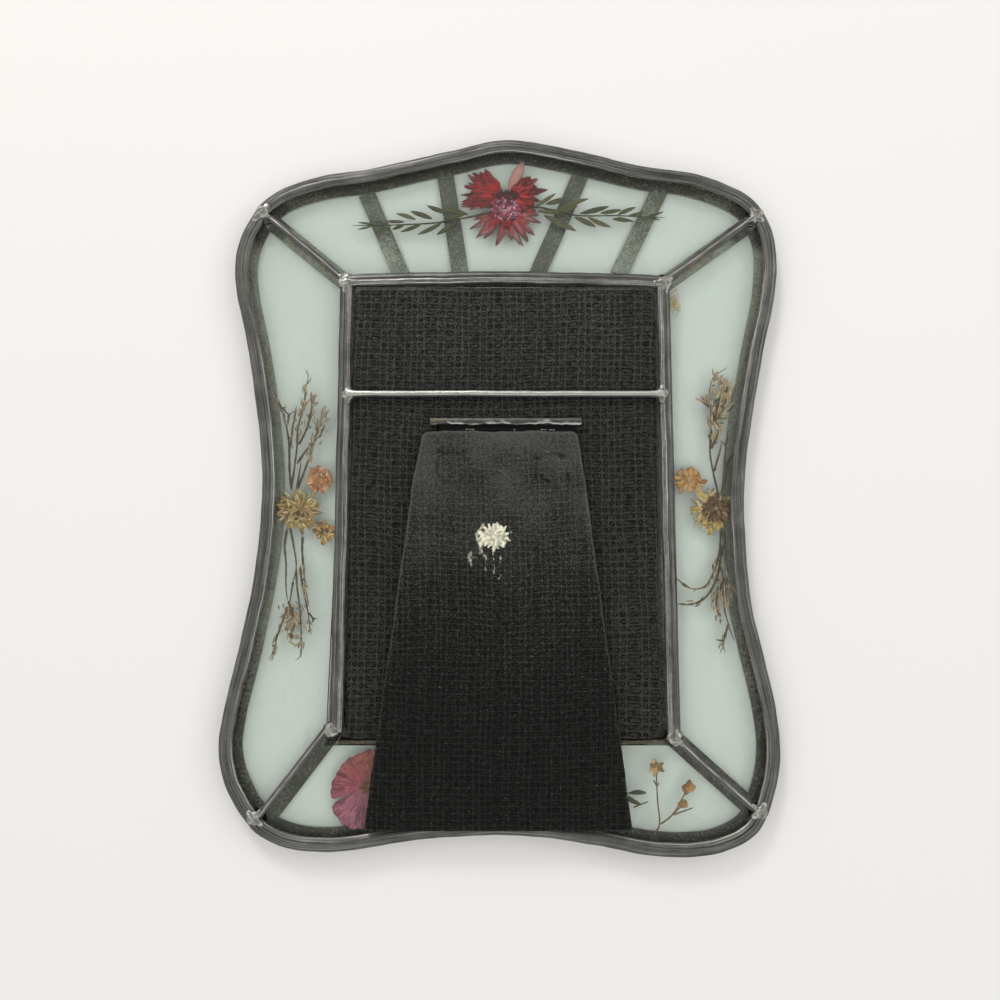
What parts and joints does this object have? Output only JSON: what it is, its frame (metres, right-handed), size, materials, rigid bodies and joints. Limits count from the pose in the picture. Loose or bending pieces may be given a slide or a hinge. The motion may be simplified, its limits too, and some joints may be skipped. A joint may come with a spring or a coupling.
{
  "type": "pressed flower frame",
  "caption": "Leaded-glass photo frame, face down, with pressed and dried flowers sealed in its border panels, a wire-held back board and a folding easel leg.",
  "frame": {"origin": "middle of the front face's bounding box, on the surface the frame lies on", "axes": "+Z out of the back, +Y towards the crowned top edge, +X to the right seen from the back"},
  "size_m": [0.1857, 0.24, 0.0097],
  "materials": {
    "lead": "dull pewter-grey lead came with fine lengthwise drawing lines",
    "solder": "bright lumpy tin-lead solder",
    "lead_strip": "mottled grey-green oxidised lead strip",
    "glass": "clear pale aqua sheet glass with a little dust",
    "tinned_wire": "tinned wire, satin",
    "embossed_black": "black basket-weave embossed paper on card, dusty and worn",
    "hinge_steel": "darkened steel hinge with a little rust",
    "crimson_petal": "dry crimson petals",
    "pink_petal": "dry veined pink-violet petals",
    "yellow_petal": "dry yellow-brown petals",
    "peach_petal": "dry peach petals",
    "dried_leaf": "dry olive-brown leaves",
    "dried_stem": "dry brown stems and seed husks"
  },
  "bodies": {
    "frame": {"outer_came_top": "lead", "outer_came_right": "lead", "outer_came_bottom": "lead", "outer_came_left": "lead", "pocket_came_top": "lead", "pocket_came_right": "lead", "pocket_came_bottom": "lead", "pocket_came_left": "lead", "diagonal_came_top_left": "lead", "diagonal_came_top_right": "lead", "diagonal_came_bottom_right": "lead", "diagonal_came_bottom_left": "lead", "solder_outer_top_left": "solder", "solder_outer_top_right": "solder", "solder_outer_bottom_right": "solder", "solder_outer_bottom_left": "solder", "solder_pocket_top_left": "solder", "solder_pocket_top_right": "solder", "solder_pocket_bottom_right": "solder", "solder_pocket_bottom_left": "solder", "solder_wire_left": "solder", "solder_wire_right": "solder", "front_pane_top": "glass", "front_pane_right": "glass", "front_pane_bottom": "glass", "front_pane_left": "glass", "back_pane_top": "glass", "back_pane_right": "glass", "back_pane_bottom": "glass", "back_pane_left": "glass", "centre_pane": "glass", "lead_strip_1": "lead_strip", "lead_strip_2": "lead_strip", "lead_strip_3": "lead_strip", "lead_strip_4": "lead_strip", "retaining_wire": "tinned_wire", "back_board": "embossed_black", "hinge_barrel": "hinge_steel", "cornflower": "crimson_petal", "leaf_sprig_left": "dried_leaf", "leaf_sprig_right": "dried_leaf", "leaf_sprig_small": "dried_leaf", "spray_left_upper": "dried_stem", "spray_left_lower": "dried_stem", "spray_right_upper": "dried_stem", "spray_right_lower": "dried_stem", "yellow_flower_left": "yellow_petal", "small_flower_left": "yellow_petal", "daisy_right": "yellow_petal", "gypsophila_sprig": "yellow_petal", "blossom_left": "peach_petal", "petal_right": "peach_petal", "pink_flower": "pink_petal"},
    "leg": {"hinge_leaf": "hinge_steel", "easel_leg": "embossed_black"}
  },
  "joints": [
    {"name": "easel_hinge", "type": "hinge", "parent": "frame", "child": "leg", "pos_m": [0, 0.0201, 0.0072], "axis": [-1, 0, 0], "range_deg": [0, 35]}
  ]
}
